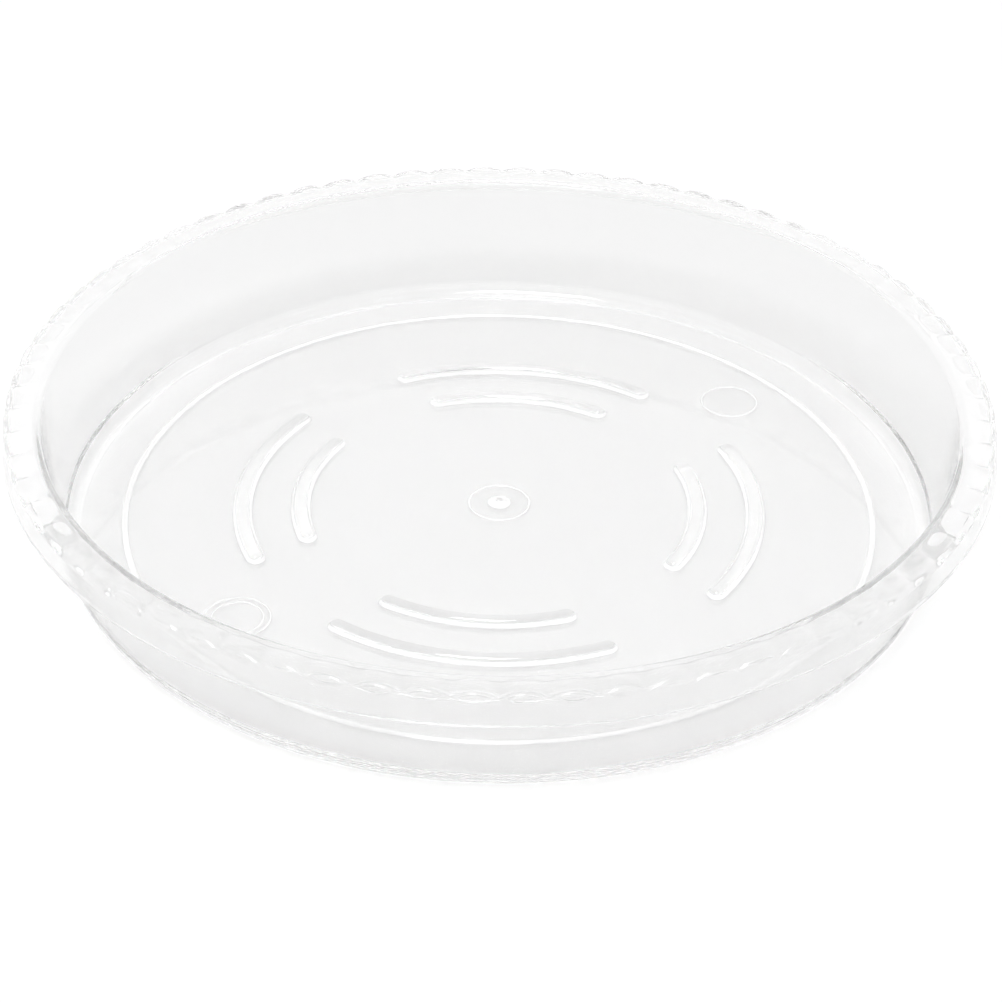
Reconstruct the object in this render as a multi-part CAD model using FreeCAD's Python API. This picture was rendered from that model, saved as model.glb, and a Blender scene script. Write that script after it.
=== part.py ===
import FreeCAD, Part
import math
import os

# Clear round plant saucer, moulded in one shot, in millimetres.
# The origin is the centre of the flat foot, with +Z up. The ribs under the pot are
# centred on the X and Y axes. Each node is one region of the moulding, and the
# regions meet face to face.

# Rim
outer_radius = 130.0       # widest, at the lower edge of the turned-down skirt
rim_radius = 128.9         # outer edge of the scalloped rim
rim_inner_radius = 119.6   # smooth inner edge of the rim
scallop_count = 72
scallop_phase = 1.3        # degrees from +X to the first notch
lip_bottom = 35.4          # underside of the rim
skirt_bottom = 29.4        # lower edge of the skirt
skirt_thickness = 1.3
skirt_inset = 0.15         # skirt inside the scalloped edge, at its top
skirt_rounding = 0.55
# Radius, crest height and notch height of a scallop, from the inner edge outwards
scallop_sections = [
    (rim_inner_radius, 37.1, 37.1),
    (122.2, 37.2, 37.1),
    (124.4, 37.8, 36.9),
    (126.6, 38.0, 36.7),
    (128.2, 37.4, 36.4),
    (rim_radius, 36.3, 35.7),
]

# Wall and floor
wall_thickness = 1.4
wall_draft = 7.7           # degrees from upright
floor_thickness = 1.2
corner_height = 4.2        # the corner ends here and the wall begins
corner_fillet = 2.8        # inside, between floor and wall
foot_rounding = 4.1        # outside, at the foot
disc_radius = 112.0        # the flat floor ends here and the corner begins

# Raised details on the floor
floor_ring_radius = 100.5
floor_ring_width = 1.8
floor_ring_top_width = 0.9
floor_ring_height = 0.4
rib_width = 5.4
rib_height = 1.8
outer_rib_radius = 69.2
outer_rib_span = 59.0      # degrees between the centres of a rib's round ends
inner_rib_radius = 53.6
inner_rib_span = 50.4
rib_directions = {"right": 0.0, "back": 90.0, "left": 180.0, "front": 270.0}
centre_ring_radius = 8.2
centre_ring_width = 0.7
centre_ring_height = 0.2
gate_radius = 3.4          # low dome where the plastic was injected
gate_height = 0.7
gate_nub_radius = 0.9      # the cut-off stub on the dome
gate_nub_top = 1.15        # above the floor
mark_distance = 84.7       # from the centre to each round ejector mark
mark_width = 0.55
mark_height = 0.15
single_mark_angle = 45.0
single_mark_radii = [7.9]
double_mark_angle = 225.0
double_mark_radii = [8.4, 6.6]

up = FreeCAD.Vector(0, 0, 1)
origin = FreeCAD.Vector(0, 0, 0)
wall_slope = math.tan(math.radians(wall_draft))


def section_point(radius, height):
    return FreeCAD.Vector(radius, 0, height)


def wall_inner(height):
    """Radius of the wall's inner face at a height."""
    return rim_inner_radius - (lip_bottom - height) * wall_slope


def wall_outer(height):
    return wall_inner(height) + wall_thickness


def rounded_section(corners):
    """Closed outline in the XZ plane from (radius, height, rounding) corners."""
    ends = []
    count = len(corners)
    for i in range(count):
        corner = section_point(*corners[i][:2])
        rounding = corners[i][2]
        back = (section_point(*corners[i - 1][:2]) - corner).normalize()
        ahead = (section_point(*corners[(i + 1) % count][:2]) - corner).normalize()
        if rounding == 0:
            ends.append((corner, None, corner))
            continue
        half = back.getAngle(ahead) / 2
        middle_direction = (back + ahead).normalize()
        run = rounding / math.tan(half)
        reach = rounding / math.sin(half) - rounding
        ends.append((corner + back * run, corner + middle_direction * reach, corner + ahead * run))
    edges = []
    for i in range(count):
        start, middle, end = ends[i]
        if middle is not None:
            edges.append(Part.Arc(start, middle, end).toShape())
        edges.append(Part.makeLine(end, ends[(i + 1) % count][0]))
    return Part.Face(Part.Wire(edges))


def turned(section, angle=360):
    """Solid of revolution about the saucer's axis."""
    return section.revolve(origin, up, angle)


def bead_section(radius, width, height):
    """Rounded bead on the floor: an arc over a flat base."""
    left = section_point(radius - width / 2, floor_thickness)
    top = section_point(radius, floor_thickness + height)
    right = section_point(radius + width / 2, floor_thickness)
    return Part.Face(Part.Wire([Part.Arc(left, top, right).toShape(), Part.makeLine(right, left)]))


def floor_disc():
    return Part.makeCylinder(disc_radius, floor_thickness)


def foot_corner():
    """Rounded corner where the floor turns up into the wall, with the foot below it."""
    return turned(rounded_section([
        (disc_radius, 0, 0),
        (wall_outer(0), 0, foot_rounding),
        (wall_outer(corner_height), corner_height, 0),
        (wall_inner(corner_height), corner_height, 0),
        (wall_inner(floor_thickness), floor_thickness, corner_fillet),
        (disc_radius, floor_thickness, 0),
    ]))


def side_wall():
    return turned(rounded_section([
        (wall_inner(corner_height), corner_height, 0),
        (wall_outer(corner_height), corner_height, 0),
        (wall_outer(lip_bottom), lip_bottom, 0),
        (wall_inner(lip_bottom), lip_bottom, 0),
    ]))


def rim_skirt():
    """Band that hangs from the rim and flares a little down to its rounded lower edge."""
    top_outer = rim_radius - skirt_inset
    return turned(rounded_section([
        (top_outer - skirt_thickness, lip_bottom, 0),
        (outer_radius - skirt_thickness, skirt_bottom, skirt_rounding),
        (outer_radius, skirt_bottom, skirt_rounding),
        (top_outer, lip_bottom, 0),
    ]))


def scallop_point(radius, angle, height):
    turn = math.radians(angle)
    return FreeCAD.Vector(radius * math.cos(turn), radius * math.sin(turn), height)


def scallop_faces(index):
    """Upper skin and both end faces of one scallop, between two notches."""
    pitch = 360.0 / scallop_count
    start = scallop_phase + index * pitch
    chord_share = math.cos(math.radians(pitch / 2))
    rails = []
    for radius, crest, notch in scallop_sections:
        left = scallop_point(radius, start, notch)
        right = scallop_point(radius, start + pitch, notch)
        if crest == notch:
            rails.append(Part.makeLine(left, right))
        else:
            top = scallop_point(radius * chord_share, start + pitch / 2, crest)
            rails.append(Part.Arc(left, top, right).toShape())
    faces = [Part.makeRuledSurface(a, b) for a, b in zip(rails, rails[1:])]
    for rail, (radius, crest, notch) in ((rails[0], scallop_sections[0]), (rails[-1], scallop_sections[-1])):
        left = scallop_point(radius, start, notch)
        right = scallop_point(radius, start + pitch, notch)
        low_left = scallop_point(radius, start, lip_bottom)
        low_right = scallop_point(radius, start + pitch, lip_bottom)
        sides = [Part.makeLine(right, low_right), Part.makeLine(low_right, low_left), Part.makeLine(low_left, left)]
        faces.append(Part.Face(Part.Wire([rail] + sides)))
    return faces


def rim_lip():
    """Flat rim whose upper side swells into one scallop after another."""
    pitch = 360.0 / scallop_count
    faces = []
    for index in range(scallop_count):
        faces += scallop_faces(index)
    angles = [scallop_phase + index * pitch for index in range(scallop_count + 1)]
    rims = [Part.makePolygon([scallop_point(radius, angle, lip_bottom) for angle in angles])
            for radius in (rim_radius, rim_inner_radius)]
    underside = Part.Face(rims[0]).cut(Part.Face(rims[1]))
    shell = Part.Shell(faces + underside.Faces)
    shell.sewShape()
    lip = Part.Solid(shell)
    lip.fix(1e-4, 1e-4, 1e-4)
    return lip


def rib(radius, span, direction):
    """Curved rib with a rounded back and two domed ends."""
    body = turned(bead_section(radius, rib_width, rib_height), span)
    body.rotate(origin, up, -span / 2)
    low = section_point(radius, floor_thickness)
    top = section_point(radius, floor_thickness + rib_height)
    side = section_point(radius + rib_width / 2, floor_thickness)
    dome_radius = (rib_width ** 2 / 4 + rib_height ** 2) / (2 * rib_height)
    half_angle = math.asin(rib_width / 2 / dome_radius) / 2
    middle = section_point(radius + dome_radius * math.sin(half_angle),
                           floor_thickness + rib_height - dome_radius * (1 - math.cos(half_angle)))
    outline = [Part.makeLine(low, top), Part.Arc(top, middle, side).toShape(), Part.makeLine(side, low)]
    quarter = Part.Face(Part.Wire(outline))
    far_end = quarter.revolve(low, up, 180)
    far_end.rotate(origin, up, span / 2)
    near_end = quarter.revolve(low, up, -180)
    near_end.rotate(origin, up, -span / 2)
    whole = body.fuse([far_end, near_end]).removeSplitter()
    whole.rotate(origin, up, direction)
    return whole


def floor_ring():
    """Fine ring with sloping sides and a narrow flat top."""
    top = floor_thickness + floor_ring_height
    return turned(rounded_section([
        (floor_ring_radius - floor_ring_width / 2, floor_thickness, 0),
        (floor_ring_radius + floor_ring_width / 2, floor_thickness, 0),
        (floor_ring_radius + floor_ring_top_width / 2, top, 0),
        (floor_ring_radius - floor_ring_top_width / 2, top, 0),
    ]))


def centre_ring():
    return turned(bead_section(centre_ring_radius, centre_ring_width, centre_ring_height))


def gate_bump():
    """Low dome with the stub of the sprue on it."""
    ball_radius = (gate_radius ** 2 + gate_height ** 2) / (2 * gate_height)
    ball = Part.makeSphere(ball_radius, FreeCAD.Vector(0, 0, floor_thickness + gate_height - ball_radius))
    above = Part.makeCylinder(gate_radius * 2, gate_height * 2, FreeCAD.Vector(0, 0, floor_thickness))
    dome = ball.common(above)
    nub = Part.makeCylinder(gate_nub_radius, gate_nub_top, FreeCAD.Vector(0, 0, floor_thickness))
    return dome.fuse(nub).removeSplitter()


def round_mark(radii, angle):
    """Fine raised circles, left by a round pin of the mould."""
    rings = []
    for radius in radii:
        ring = turned(bead_section(radius, mark_width, mark_height))
        ring.translate(scallop_point(mark_distance, angle, 0))
        rings.append(ring)
    return rings[0] if len(rings) == 1 else Part.makeCompound(rings)


nodes = {
    "floor_disc": floor_disc(),
    "foot_corner": foot_corner(),
    "side_wall": side_wall(),
    "rim_lip": rim_lip(),
    "rim_skirt": rim_skirt(),
    "floor_ring": floor_ring(),
    "centre_ring": centre_ring(),
    "gate_bump": gate_bump(),
    "single_round_mark": round_mark(single_mark_radii, single_mark_angle),
    "double_round_mark": round_mark(double_mark_radii, double_mark_angle),
}
for name, direction in rib_directions.items():
    nodes["outer_rib_" + name] = rib(outer_rib_radius, outer_rib_span, direction)
    nodes["inner_rib_" + name] = rib(inner_rib_radius, inner_rib_span, direction)

os.makedirs("parts", exist_ok=True)
for name, shape in nodes.items():
    box = shape.BoundBox
    print(f"{name}: {len(shape.Solids)} solid, valid {shape.isValid()}, {shape.Volume / 1000:.3f} cm3,"
          f" z {box.ZMin:.2f} to {box.ZMax:.2f}, x {box.XMin:.1f} to {box.XMax:.1f}")
    shape.exportStep(f"parts/{name}.step")
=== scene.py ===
import math

import bpy
import numpy as np
from mathutils import Matrix, Vector


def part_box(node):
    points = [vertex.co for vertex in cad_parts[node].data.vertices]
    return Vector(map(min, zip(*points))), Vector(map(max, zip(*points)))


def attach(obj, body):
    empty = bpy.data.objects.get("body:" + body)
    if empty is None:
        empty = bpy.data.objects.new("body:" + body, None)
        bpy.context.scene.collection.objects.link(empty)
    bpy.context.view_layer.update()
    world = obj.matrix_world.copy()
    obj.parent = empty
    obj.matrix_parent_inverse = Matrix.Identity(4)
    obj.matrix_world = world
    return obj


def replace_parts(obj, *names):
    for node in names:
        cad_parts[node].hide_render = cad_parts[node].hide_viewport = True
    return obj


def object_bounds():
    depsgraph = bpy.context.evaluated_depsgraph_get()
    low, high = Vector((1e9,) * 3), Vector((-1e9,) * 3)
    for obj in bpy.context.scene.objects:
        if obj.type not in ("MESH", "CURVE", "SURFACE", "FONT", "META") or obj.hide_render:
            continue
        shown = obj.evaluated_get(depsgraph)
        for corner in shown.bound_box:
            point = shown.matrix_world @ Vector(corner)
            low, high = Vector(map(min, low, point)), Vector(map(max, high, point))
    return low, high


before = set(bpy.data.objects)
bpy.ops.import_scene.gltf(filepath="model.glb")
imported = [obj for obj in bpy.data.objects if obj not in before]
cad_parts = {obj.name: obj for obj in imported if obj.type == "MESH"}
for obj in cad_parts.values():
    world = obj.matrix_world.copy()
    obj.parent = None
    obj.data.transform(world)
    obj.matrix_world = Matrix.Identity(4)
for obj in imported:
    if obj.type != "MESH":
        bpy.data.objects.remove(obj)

# Clear plastic plant saucer, in metres, +Z up, standing on z = 0.
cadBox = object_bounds()
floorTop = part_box("floor_disc")[1].z
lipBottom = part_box("rim_lip")[0].z
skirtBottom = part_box("rim_skirt")[0].z
outerRadius = cadBox[1].x
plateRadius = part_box("floor_disc")[1].x
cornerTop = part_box("side_wall")[0].z
rayCount = 1152              # rays round the axis, 16 for each scallop
sharpAngle = 40              # degrees between two faces, past which their edge is sharp


# Meshes
def meshPiece(name, points, faces, material):
    # One piece from an array of points and arrays of triangles or quads, without the points that none uses.
    used, order = np.unique(np.concatenate([part.ravel() for part in faces]), return_inverse=True)
    corners, start = [], 0
    for part in faces:
        corners += order[start:start + part.size].reshape(part.shape).tolist()
        start += part.size
    mesh = bpy.data.meshes.new(name)
    mesh.from_pydata(points[used].tolist(), [], corners)
    mesh.polygons.foreach_set("use_smooth", np.ones(len(mesh.polygons), bool))
    mesh.set_sharp_from_angle(angle=math.radians(sharpAngle))
    mesh.materials.append(material)
    mesh.update()
    piece = bpy.data.objects.new(name, mesh)
    bpy.context.scene.collection.objects.link(piece)
    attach(piece, "root")
    return piece


def turnedPoints(radius, height, angle):
    # x = radius cos angle, y = radius sin angle, on a grid of circles by rays.
    radius, height, angle = np.broadcast_arrays(radius, height, angle)
    return np.stack([radius * np.cos(angle), radius * np.sin(angle), height], -1).reshape(-1, 3)


def gridQuads(keep, columns):
    # Quads facing up, in the cells to keep between circles and rays. With as many cells as rays to a row,
    # the last cell joins the first ray.
    i, j = np.nonzero(keep)
    k = (j + 1) % columns
    return np.stack([i * columns + j, (i + 1) * columns + j, (i + 1) * columns + k, i * columns + k], -1)


def fan(pole, ring, columns):
    # Triangles facing up, from the pole to each side of the ring about it.
    j = np.arange(columns)
    return np.stack([np.full(columns, pole), ring + j, ring + (j + 1) % columns], -1)


def roundedRun(corners):
    # Polyline through (radius, height, rounding, steps) corners, each rounded corner a tangent arc.
    line = []
    for index, (radius, height, rounding, steps) in enumerate(corners):
        here = np.array([radius, height])
        if not rounding:
            line.append(here)
            continue
        back = np.array(corners[index - 1][:2]) - here
        ahead = np.array(corners[index + 1][:2]) - here
        back /= np.linalg.norm(back)
        ahead /= np.linalg.norm(ahead)
        half = math.acos(np.clip(back @ ahead, -1, 1)) / 2
        middle = here + (back + ahead) / np.linalg.norm(back + ahead) * rounding / math.sin(half)
        start, end = here + back * rounding / math.tan(half), here + ahead * rounding / math.tan(half)
        a0 = math.atan2(*(start - middle)[::-1])
        sweep = (math.atan2(*(end - middle)[::-1]) - a0 + math.pi) % (2 * math.pi) - math.pi
        turn = a0 + sweep * np.linspace(0, 1, steps + 1)
        line += list(middle + rounding * np.stack([np.cos(turn), np.sin(turn)], -1))
    return np.array(line)


def fillRuns(line, longest, near):
    # Extra rows along straight stretches: one close to each end, and the rest evenly spread.
    filled = [line[0]]
    for a, b in zip(line, line[1:]):
        length = np.linalg.norm(b - a)
        if length > 3 * near:
            count = max(1, math.ceil((length - 2 * near) / longest))
            shares = np.linspace(near, length - near, count + 1) / length
            filled += [a + (b - a) * share for share in shares]
        filled.append(b)
    return np.array(filled)


# Outer shell: the corner, the wall, the rim and the skirt, whose edges meet point to point
shell = dict(
    scallops=72,
    firstNotch=1.3,          # degrees from +X
    wallThickness=0.0014,
    wallDraft=7.7,           # degrees from upright
    cornerFillet=0.0028,
    footRounding=0.0041,
    rimInner=0.1196,
    rimTop=0.0371,           # flat inner part of the rim, rounded down into the wall
    rimRounding=0.0016,
    skirtTop=0.12885,
    skirtThickness=0.0013,
    skirtRounding=0.00055,
    gutterRounding=0.0008,   # under the rim, beside the wall and the skirt
    # Radius, crest height and notch height of the rim's scallops
    crown=[(0.1219, 0.0371, 0.0371), (0.1228, 0.03728, 0.0370), (0.1238, 0.03762, 0.0369),
           (0.1250, 0.03792, 0.03675), (0.1262, 0.0380, 0.0366), (0.1274, 0.0378, 0.0363),
           (0.1283, 0.0373, 0.0360), (0.1288, 0.0367, 0.0357), (0.1289, 0.0360, 0.0355)],
    cornerSteps=16,          # rows along the corner's roundings
    rimSteps=8,
    edgeSteps=5,             # along the skirt's and the gutters' roundings
    longestRow=0.012,        # along a straight stretch
    nearEnd=0.0003,          # an extra row this close to each end keeps the shading flat between them
    nodes=dict(footCorner="foot_corner", sideWall="side_wall", rimLip="rim_lip", rimSkirt="rim_skirt"),
)


def shellOutline():
    # The outline from the plate's upper edge up the inside, over the rim, down the outside and back to the
    # plate's lower edge, and the rows at which one piece gives way to the next.
    s = shell
    slope = math.tan(math.radians(s["wallDraft"]))

    def wallAt(height):
        return s["rimInner"] - (lipBottom - height) * slope

    thick, edgeSteps = s["wallThickness"], s["edgeSteps"]
    crown = np.array(s["crown"])
    inside = fillRuns(roundedRun([
        (plateRadius, floorTop, 0, 0),
        (wallAt(floorTop), floorTop, s["cornerFillet"], s["cornerSteps"]),
        (wallAt(cornerTop), cornerTop, 0, 0),
        (wallAt(lipBottom), lipBottom, 0, 0),
        (wallAt(s["rimTop"]), s["rimTop"], s["rimRounding"], s["rimSteps"]),
        (*crown[0][:2], 0, 0)]), s["longestRow"], s["nearEnd"])[:-1]
    outside = fillRuns(roundedRun([
        (s["skirtTop"], lipBottom, 0, 0),
        (outerRadius, skirtBottom, s["skirtRounding"], edgeSteps),
        (outerRadius - s["skirtThickness"], skirtBottom, s["skirtRounding"], edgeSteps),
        (s["skirtTop"] - s["skirtThickness"], lipBottom, s["gutterRounding"], edgeSteps),
        (wallAt(lipBottom) + thick, lipBottom, s["gutterRounding"], edgeSteps),
        (wallAt(cornerTop) + thick, cornerTop, 0, 0),
        (wallAt(0) + thick, 0, s["footRounding"], s["cornerSteps"]),
        (plateRadius, 0, 0, 0)]), s["longestRow"], s["nearEnd"])
    radius = np.concatenate([inside[:, 0], crown[:, 0], outside[:, 0]])
    crest = np.concatenate([inside[:, 1], crown[:, 1], outside[:, 1]])
    notch = np.concatenate([inside[:, 1], crown[:, 2], outside[:, 1]])
    level = {height: np.nonzero(np.abs(crest - height) < 1e-7)[0] for height in (cornerTop, lipBottom)}
    innerFoot, outerFoot = level[cornerTop][[0, -1]]
    lipIn, skirtOut, skirtIn, wallOut = level[lipBottom][[0, 1, 2, -1]]
    strips = {
        "footCorner": [(0, innerFoot), (outerFoot, len(crest) - 1)],
        "sideWall": [(innerFoot, lipIn), (wallOut, outerFoot)],
        "rimLip": [(lipIn, skirtOut), (skirtIn, wallOut)],
        "rimSkirt": [(skirtOut, skirtIn)],
    }
    return radius, crest, notch, strips


def makeShell(finishes):
    # The outline carried round the axis. On the rim, the height falls from the crest to the notch with the
    # square of the distance from the middle of its scallop.
    radius, crest, notch, strips = shellOutline()
    turn = np.arange(rayCount) * 2 * np.pi / rayCount
    place = (np.degrees(turn) - shell["firstNotch"]) * shell["scallops"] / 360 % 1
    fall = (2 * place - 1) ** 2
    points = turnedPoints(radius[:, None], crest[:, None] - (crest - notch)[:, None] * fall, turn)
    for name, runs in strips.items():
        faces = [gridQuads(np.ones((last - first, rayCount), bool), rayCount) + first * rayCount
                 for first, last in runs]
        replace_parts(meshPiece(name, points, faces, finishes[name]), shell["nodes"][name])
        print(name, sum(len(part) for part in faces), "faces")


# Floor plate: an underside, and an upper side with a window where each raised detail takes over
windows = {
    "gate": dict(low=0.0, high=0.0044),
    "centreRing": dict(low=0.0072, high=0.0092),
    "innerRib": dict(low=0.0502, high=0.0570, spread=28.75, middles=(0, 90, 180, 270)),
    "outerRib": dict(low=0.0658, high=0.0726, spread=32.5, middles=(0, 90, 180, 270)),
    "roundMark": dict(low=0.0755, high=0.0939, spread=6.25, middles=(45, 225)),
    "floorRing": dict(low=0.0993, high=0.1017),
}


def makePlate(material):
    # Circles at every window's edges, and the same rays as the outer shell, so that their edges meet.
    edges = [window[side] for window in windows.values() for side in ("low", "high")]
    radii = np.array(sorted(set(edges[1:] + [plateRadius])))[:, None]
    turn = np.arange(rayCount) * 2 * np.pi / rayCount
    middleRadius = (radii[1:] + radii[:-1]) / 2
    middleTurn = np.degrees(turn) + 180 / rayCount
    everywhere = np.ones((len(middleRadius), rayCount), bool)
    keep = everywhere.copy()
    for window in windows.values():
        inside = (middleRadius > window["low"]) & (middleRadius < window["high"])
        for middle in window.get("middles", (0,)):
            away = np.abs((middleTurn - middle + 180) % 360 - 180)
            keep &= ~(inside & (away < window.get("spread", 360)))
    points = np.concatenate([turnedPoints(radii, floorTop, turn), turnedPoints(radii, 0, turn), [(0, 0, 0)]])
    under = len(radii) * rayCount
    faces = [gridQuads(keep, rayCount), gridQuads(everywhere, rayCount)[:, ::-1] + under,
             fan(2 * under, under, rayCount)[:, ::-1]]
    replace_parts(meshPiece("floorPlate", points, faces, material), "floor_disc")
    print("floor plate:", sum(len(part) for part in faces), "faces")


def beadHeight(share, height, crownPower, footPower):
    # Height over the floor at a share of the half width: flat on top and hollow at the foot.
    return height * (1 - np.clip(share, 0, 1) ** crownPower) ** footPower


# Curved ribs, each with the strip of floor round it
rib = dict(width=0.0054, height=0.0018, crownPower=2.4, footPower=1.3, across=29, endSteps=13, runSteps=90)
ribRows = {"outer": dict(radius=0.0692, span=59.0), "inner": dict(radius=0.0536, span=50.4)}
ribDirections = {"right": 0, "back": 90, "left": 180, "front": 270}


def makeRib(rowName, side, material):
    # The height depends only on the distance from the rib's centre line, which is an arc: straight across
    # between its ends, and from the end point past them.
    size, window, half = ribRows[rowName], windows[rowName + "Rib"], rib["width"] / 2
    sweep, edge = math.radians(size["span"]) / 2, math.radians(window["spread"])
    reach = half * np.sin(np.linspace(0, np.pi / 2, rib["endSteps"])) / size["radius"]
    run = np.linspace(-sweep, sweep, rib["runSteps"])
    turn = np.concatenate([[-edge], -sweep - reach[:0:-1], run, sweep + reach[1:], [edge]])
    lateral = half * np.sin(np.linspace(-np.pi / 2, np.pi / 2, rib["across"]))
    radii = np.concatenate([[window["low"]], size["radius"] + lateral, [window["high"]]])[:, None]
    endTurn = np.clip(turn, -sweep, sweep)
    toEnd = np.hypot(radii * np.cos(turn) - size["radius"] * np.cos(endTurn),
                     radii * np.sin(turn) - size["radius"] * np.sin(endTurn))
    distance = np.where(np.abs(turn) <= sweep, np.abs(radii - size["radius"]), toEnd)
    height = floorTop + beadHeight(distance / half, rib["height"], rib["crownPower"], rib["footPower"])
    points = turnedPoints(radii, height, turn + math.radians(ribDirections[side]))
    quads = gridQuads(np.ones((len(radii) - 1, len(turn) - 1), bool), len(turn))
    piece = meshPiece(rowName + "Rib" + side.capitalize(), points, [quads], material)
    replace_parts(piece, f"{rowName}_rib_{side}")


# Fine rings about the axis
fineBead = dict(crownPower=2.0, footPower=1.5, across=17)
rings = {
    "floorRing": dict(node="floor_ring", radius=0.1005, width=0.0019, height=0.00040, rays=rayCount),
    "centreRing": dict(node="centre_ring", radius=0.0082, width=0.0008, height=0.00018, rays=192),
}


def fineHeight(away, radius, half, height):
    # Height of a fine bead over the floor, at a distance from the middle of the circle that it follows.
    return beadHeight(np.abs(away - radius) / half, height, fineBead["crownPower"], fineBead["footPower"])


def makeRings(material):
    # A low bead on an annulus of the floor.
    for name, size in rings.items():
        half, window = size["width"] / 2, windows[name]
        lateral = half * np.sin(np.linspace(-np.pi / 2, np.pi / 2, fineBead["across"]))
        radii = np.concatenate([[window["low"]], size["radius"] + lateral, [window["high"]]])[:, None]
        height = floorTop + fineHeight(radii, size["radius"], half, size["height"])
        points = turnedPoints(radii, height, np.arange(size["rays"]) * 2 * np.pi / size["rays"])
        quads = gridQuads(np.ones((len(radii) - 1, size["rays"]), bool), size["rays"])
        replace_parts(meshPiece(name, points, [quads], material), size["node"])


# Round marks of the mould's pins
marks = {
    "singleRoundMark": dict(node="single_round_mark", radii=(0.0079,), angle=45),
    "doubleRoundMark": dict(node="double_round_mark", radii=(0.0084, 0.0066), angle=225),
}
markSize = dict(distance=0.0847, width=0.0007, height=0.00012, steps=180)


def makeMarks(material):
    # Low beads along circles about a point off the axis, on a fine grid of circles and rays.
    window, half, steps = windows["roundMark"], markSize["width"] / 2, markSize["steps"]
    spread = math.radians(window["spread"])
    turn = np.linspace(-spread, spread, steps)
    radii = np.linspace(window["low"], window["high"], steps)[:, None]
    away = np.hypot(radii * np.cos(turn) - markSize["distance"], radii * np.sin(turn))
    for name, mark in marks.items():
        height = floorTop
        for radius in mark["radii"]:
            height = height + fineHeight(away, radius, half, markSize["height"])
        points = turnedPoints(radii, height, turn + math.radians(mark["angle"]))
        quads = gridQuads(np.ones((steps - 1, steps - 1), bool), steps)
        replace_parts(meshPiece(name, points, [quads], material), mark["node"])


# Gate mark in the middle
gate = dict(
    domeRadius=0.0034, domeHeight=0.0007, domeSteps=12, crownPower=2.0, footPower=1.3,
    nubRadius=0.0009, nubHeight=0.00115,
    nubRun=(0.5, 0.8, 0.95, 1.0, 1.03, 1.15),        # shares of the stub's radius
    nubLevel=(1, 0.97, 0.9, 0.8, 0.66, 0.57),        # shares of its height
    rays=192,
)


def makeGate(material):
    # A low dome with a small stub on it, turned about the axis, with the strip of floor round it.
    g = gate
    nubRun = g["nubRadius"] * np.array(g["nubRun"])
    nubLevel = g["nubHeight"] * np.array(g["nubLevel"])
    domeRun = np.linspace(nubRun[-1], g["domeRadius"], g["domeSteps"])[1:]
    domeLevel = beadHeight(domeRun / g["domeRadius"], g["domeHeight"], g["crownPower"], g["footPower"])
    radius = np.concatenate([nubRun, domeRun, [windows["gate"]["high"]]])[:, None]
    level = floorTop + np.concatenate([nubLevel, domeLevel, [0]])[:, None]
    points = turnedPoints(radius, level, np.arange(g["rays"]) * 2 * np.pi / g["rays"])
    points = np.concatenate([[(0, 0, floorTop + g["nubHeight"])], points])
    faces = [fan(0, 1, g["rays"]), gridQuads(np.ones((len(radius) - 1, g["rays"]), bool), g["rays"]) + 1]
    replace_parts(meshPiece("gateBump", points, faces, material), "gate_bump")


# Materials
# The ior is below the plastic's own, so that less light is caught in it. The gloss comes from the coat.
finishes = {
    "floorPlastic": dict(colour=0.914, clear=0.98, ior=1.22, coat=1.0, roughness=0.05, grain=0.1),
    "wallPlastic": dict(colour=0.928, clear=0.98, ior=1.06, coat=0.4, roughness=0.18, grain=0.5),
    "cornerPlastic": dict(colour=0.95, clear=0.98, ior=1.36, coat=0.5, roughness=0.08, grain=0.05),
    "rimPlastic": dict(colour=0.99, clear=0.98, ior=1.22, coat=0.5, roughness=0.08, grain=0.05),
}
gloss = dict(coatIor=1.5, coatRoughness=0.08)
surface = dict(fineScale=2600.0, coarseScale=240.0, waveDetail=2, waveHeight=0.00001,
               patchScale=60.0, patchDetail=4, patchLow=0.35, patchHigh=0.65, unevenness=0.05)
# The wall is grainier near its foot. It is also darker there, and that darkening is painted shade standing
# in for the table's contact shadow seen through the wall. The raised details are frosted, less so on a rib's
# crown.
footShadeAndGrain = dict(low=0.0045, high=0.0170, colour=0.90, grain=1.3)
frost = dict(low=0.00002, high=0.00010, clear=0.35, crownLow=0.0007, crownHigh=0.0012, crownShare=0.2)


def ramp(tree, source, low, high, start, end):
    # A value that goes from start to end while the source goes from low to high.
    node = tree.nodes.new("ShaderNodeMapRange")
    for name, value in (("From Min", low), ("From Max", high), ("To Min", start), ("To Max", end)):
        node.inputs[name].default_value = value
    tree.links.new(source, node.inputs["Value"])
    return node.outputs["Result"]


def combine(tree, operation, first, second):
    # A sum, product or other working of two values, each a number or a socket.
    node = tree.nodes.new("ShaderNodeMath")
    node.operation = operation
    for index, value in enumerate((first, second)):
        if isinstance(value, float):
            node.inputs[index].default_value = value
        else:
            tree.links.new(value, node.inputs[index])
    return node.outputs["Value"]


def noise(tree, place, scale, detail):
    # Soft random values from 0 to 1.
    node = tree.nodes.new("ShaderNodeTexNoise")
    node.inputs["Scale"].default_value = scale
    node.inputs["Detail"].default_value = detail
    tree.links.new(place, node.inputs["Vector"])
    return node.outputs["Fac"]


def bump(tree, height, strength, under=None):
    # Fine relief from a height, over the relief under it.
    node = tree.nodes.new("ShaderNodeBump")
    node.inputs["Distance"].default_value = surface["waveHeight"]
    if isinstance(strength, float):
        node.inputs["Strength"].default_value = strength
    else:
        tree.links.new(strength, node.inputs["Strength"])
    tree.links.new(height, node.inputs["Height"])
    if under:
        tree.links.new(under, node.inputs["Normal"])
    return node.outputs["Normal"]


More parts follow.
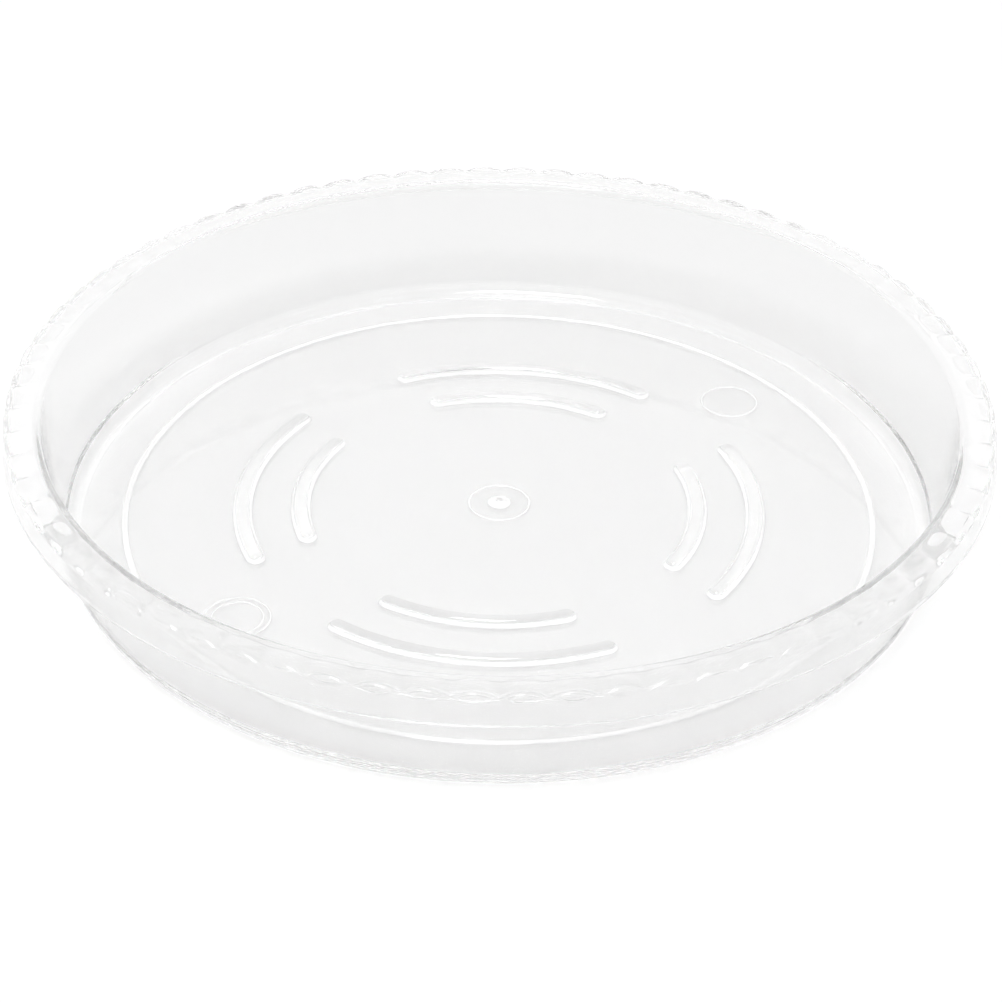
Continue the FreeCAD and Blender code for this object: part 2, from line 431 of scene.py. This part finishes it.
def clearPlastic(name):
    # Clear moulded plastic with a faint haze, a slightly wavy surface and a fine grain.
    finish = finishes[name]
    material = bpy.data.materials.new(name)
    material.use_nodes = True
    tree = material.node_tree
    shader = tree.nodes["Principled BSDF"]
    shader.inputs["Base Color"].default_value = (finish["colour"],) * 3 + (1,)
    shader.inputs["IOR"].default_value = finish["ior"]
    shader.inputs["Transmission Weight"].default_value = finish["clear"]
    shader.inputs["Coat Weight"].default_value = finish["coat"]
    shader.inputs["Coat IOR"].default_value = gloss["coatIor"]
    shader.inputs["Coat Roughness"].default_value = gloss["coatRoughness"]
    place = tree.nodes.new("ShaderNodeTexCoord").outputs["Object"]
    split = tree.nodes.new("ShaderNodeSeparateXYZ")
    tree.links.new(place, split.inputs["Vector"])
    height = split.outputs["Z"]
    grain = finish["grain"]
    if name == "wallPlastic":
        # Painted shade: the wall's colour darkens towards its foot, where the table's contact shadow shows
        # through the wall
        paintedFootShade = ramp(tree, height, footShadeAndGrain["low"], footShadeAndGrain["high"], footShadeAndGrain["colour"], finish["colour"])
        tree.links.new(paintedFootShade, shader.inputs["Base Color"])
        grain = ramp(tree, height, footShadeAndGrain["low"], footShadeAndGrain["high"], footShadeAndGrain["grain"], grain)
    if name == "floorPlastic":
        raised = ramp(tree, height, floorTop + frost["low"], floorTop + frost["high"], 0, 1)
        crownLow, crownHigh = floorTop + frost["crownLow"], floorTop + frost["crownHigh"]
        crown = ramp(tree, height, crownLow, crownHigh, 1, frost["crownShare"])
        share = combine(tree, "MULTIPLY", raised, crown)
        tree.links.new(ramp(tree, share, 0, 1, finish["colour"], 1), shader.inputs["Base Color"])
        clear = ramp(tree, share, 0, 1, finish["clear"], frost["clear"])
        tree.links.new(clear, shader.inputs["Transmission Weight"])
    cloud = noise(tree, place, surface["patchScale"], surface["patchDetail"])
    patches = ramp(tree, cloud, surface["patchLow"], surface["patchHigh"], 0, surface["unevenness"])
    tree.links.new(combine(tree, "ADD", patches, finish["roughness"]), shader.inputs["Roughness"])
    waves = bump(tree, noise(tree, place, surface["coarseScale"], surface["waveDetail"]), 1.0)
    fine = bump(tree, noise(tree, place, surface["fineScale"], surface["waveDetail"]), grain, waves)
    tree.links.new(fine, shader.inputs["Normal"])
    return material


# Stage
# The camera sees a white table and world. Mirrored or through the plastic, they have their own tones.
stage = dict(
    floorSize=8.0,
    floorLevel=-0.0003,
    glow=0.50,               # of the table that the camera sees, under its light
    bright=0.475,            # its colour for the camera
    ground=0.90,             # its colour mirrored or through the plastic
    light=0.82,              # of the world on the table
    front=0.78,              # of the mirrored world in front, between a white horizon and a white zenith
    frontEdge=0.45,          # Y direction: the front's tone holds up to minus this, and white from plus this
    horizon=(0.55, 0.30),    # Z directions where white begins and is full, downwards
    zenith=(0.80, 0.92),     # and upwards
)


def makeTable():
    # White for the camera, with the saucer's shadow on it, and a pale matt ground for every other ray.
    half, level = stage["floorSize"] / 2, stage["floorLevel"]
    corners = [(-half, -half, level), (half, -half, level), (half, half, level), (-half, half, level)]
    mesh = bpy.data.meshes.new("stageFloor")
    mesh.from_pydata(corners, [], [(0, 1, 2, 3)])
    floor = bpy.data.objects.new("stageFloor", mesh)
    bpy.context.scene.collection.objects.link(floor)
    material = bpy.data.materials.new("stageWhite")
    material.use_nodes = True
    nodes, links = material.node_tree.nodes, material.node_tree.links
    nodes.clear()
    out = nodes.new("ShaderNodeOutputMaterial")
    path = nodes.new("ShaderNodeLightPath")
    ground = nodes.new("ShaderNodeBsdfDiffuse")
    ground.inputs["Color"].default_value = (stage["ground"],) * 3 + (1,)
    bright = nodes.new("ShaderNodeBsdfDiffuse")
    bright.inputs["Color"].default_value = (stage["bright"],) * 3 + (1,)
    glow = nodes.new("ShaderNodeEmission")
    glow.inputs["Strength"].default_value = stage["glow"]
    seen = nodes.new("ShaderNodeAddShader")
    links.new(glow.outputs["Emission"], seen.inputs[0])
    links.new(bright.outputs["BSDF"], seen.inputs[1])
    mix = nodes.new("ShaderNodeMixShader")
    links.new(path.outputs["Is Camera Ray"], mix.inputs["Fac"])
    links.new(ground.outputs["BSDF"], mix.inputs[1])
    links.new(seen.outputs["Shader"], mix.inputs[2])
    links.new(mix.outputs["Shader"], out.inputs["Surface"])
    mesh.materials.append(material)


def makeWorld():
    # White for the camera, one even light on matt surfaces, and darker in front where it is mirrored or
    # shines through the plastic.
    world = bpy.data.worlds.new("studio")
    bpy.context.scene.world = world
    world.use_nodes = True
    nodes, links = world.node_tree.nodes, world.node_tree.links
    nodes.clear()
    out = nodes.new("ShaderNodeOutputWorld")
    path = nodes.new("ShaderNodeLightPath")
    tree = world.node_tree
    split = nodes.new("ShaderNodeSeparateXYZ")
    links.new(nodes.new("ShaderNodeTexCoord").outputs["Generated"], split.inputs["Vector"])
    height = split.outputs["Z"]
    sky = ramp(tree, split.outputs["Y"], -stage["frontEdge"], stage["frontEdge"], stage["front"], 1)
    for begin, full in (stage["horizon"], stage["zenith"]):
        share = ramp(tree, height, begin, full, 0, 1)
        missing = combine(tree, "SUBTRACT", 1.0, sky)
        sky = combine(tree, "ADD", sky, combine(tree, "MULTIPLY", share, missing))
    mirrored = combine(tree, "MAXIMUM", path.outputs["Is Glossy Ray"], path.outputs["Is Transmission Ray"])
    more = combine(tree, "MULTIPLY", mirrored, combine(tree, "SUBTRACT", sky, stage["light"]))
    light = nodes.new("ShaderNodeBackground")
    links.new(combine(tree, "ADD", more, stage["light"]), light.inputs["Strength"])
    white = nodes.new("ShaderNodeBackground")
    for background in (light, white):
        background.inputs["Color"].default_value = (1, 1, 1, 1)
    mix = nodes.new("ShaderNodeMixShader")
    links.new(path.outputs["Is Camera Ray"], mix.inputs["Fac"])
    links.new(light.outputs["Background"], mix.inputs[1])
    links.new(white.outputs["Background"], mix.inputs[2])
    links.new(mix.outputs["Shader"], out.inputs["Surface"])


keyLamp = dict(place=(-0.15, -0.65, 2.5), size=0.8, power=21.0)


def makeLamp():
    # One square lamp above and a little in front, turned to the saucer.
    light = bpy.data.lights.new("keyLamp", "AREA")
    light.size = keyLamp["size"]
    light.energy = keyLamp["power"]
    holder = bpy.data.objects.new("keyLamp", light)
    holder.location = keyLamp["place"]
    holder.rotation_euler = (-Vector(keyLamp["place"])).to_track_quat("-Z", "Y").to_euler()
    bpy.context.scene.collection.objects.link(holder)


# Camera
view = dict(lens=89.6, sensor=36.0, distance=0.676, elevation=34.50, around=6.0, roll=0.87,
            aimRight=0.0005, aimUp=0.0014)


def makeCamera():
    # Looks down at the foot's centre from the front, turned a little round +Z and rolled a little.
    up, side = math.radians(view["elevation"]), math.radians(view["around"])
    back = Vector((math.sin(side) * math.cos(up), -math.cos(side) * math.cos(up), math.sin(up)))
    right = Vector((math.cos(side), math.sin(side), 0))
    above = back.cross(right)
    aim = right * view["aimRight"] + above * view["aimUp"]
    eye = back * view["distance"]
    forward = (aim - eye).normalized()
    level = (right - forward * right.dot(forward)).normalized()
    turn = Matrix.Rotation(math.radians(view["roll"]), 3, -forward)
    level = turn @ level
    camera = bpy.data.cameras.new("camera")
    camera.lens = view["lens"]
    camera.sensor_width = view["sensor"]
    holder = bpy.data.objects.new("camera", camera)
    axes = Matrix([level, level.cross(forward), -forward]).transposed()
    holder.matrix_world = Matrix.Translation(eye) @ axes.to_4x4()
    bpy.context.scene.collection.objects.link(holder)
    bpy.context.scene.camera = holder


floorPlastic, wallPlastic, cornerPlastic, rimPlastic = (clearPlastic(name) for name in finishes)
makeShell(dict(footCorner=cornerPlastic, sideWall=wallPlastic, rimLip=rimPlastic, rimSkirt=rimPlastic))
makePlate(floorPlastic)
for rowName in ribRows:
    for side in ribDirections:
        makeRib(rowName, side, floorPlastic)
makeRings(floorPlastic)
makeMarks(floorPlastic)
makeGate(floorPlastic)
print("raised details done")
makeTable()
makeWorld()
makeLamp()
makeCamera()
print("table, world, lamp and camera done")
bpy.context.scene.view_settings.view_transform = "Standard"

# Light is caught in the plastic for many reflections before it finds a way out
cycles = bpy.context.scene.cycles
cycles.max_bounces = 64
cycles.glossy_bounces = 64
cycles.transmission_bounces = 64
cycles.diffuse_bounces = 16
cycles.transparent_max_bounces = 24
cycles.blur_glossy = 0
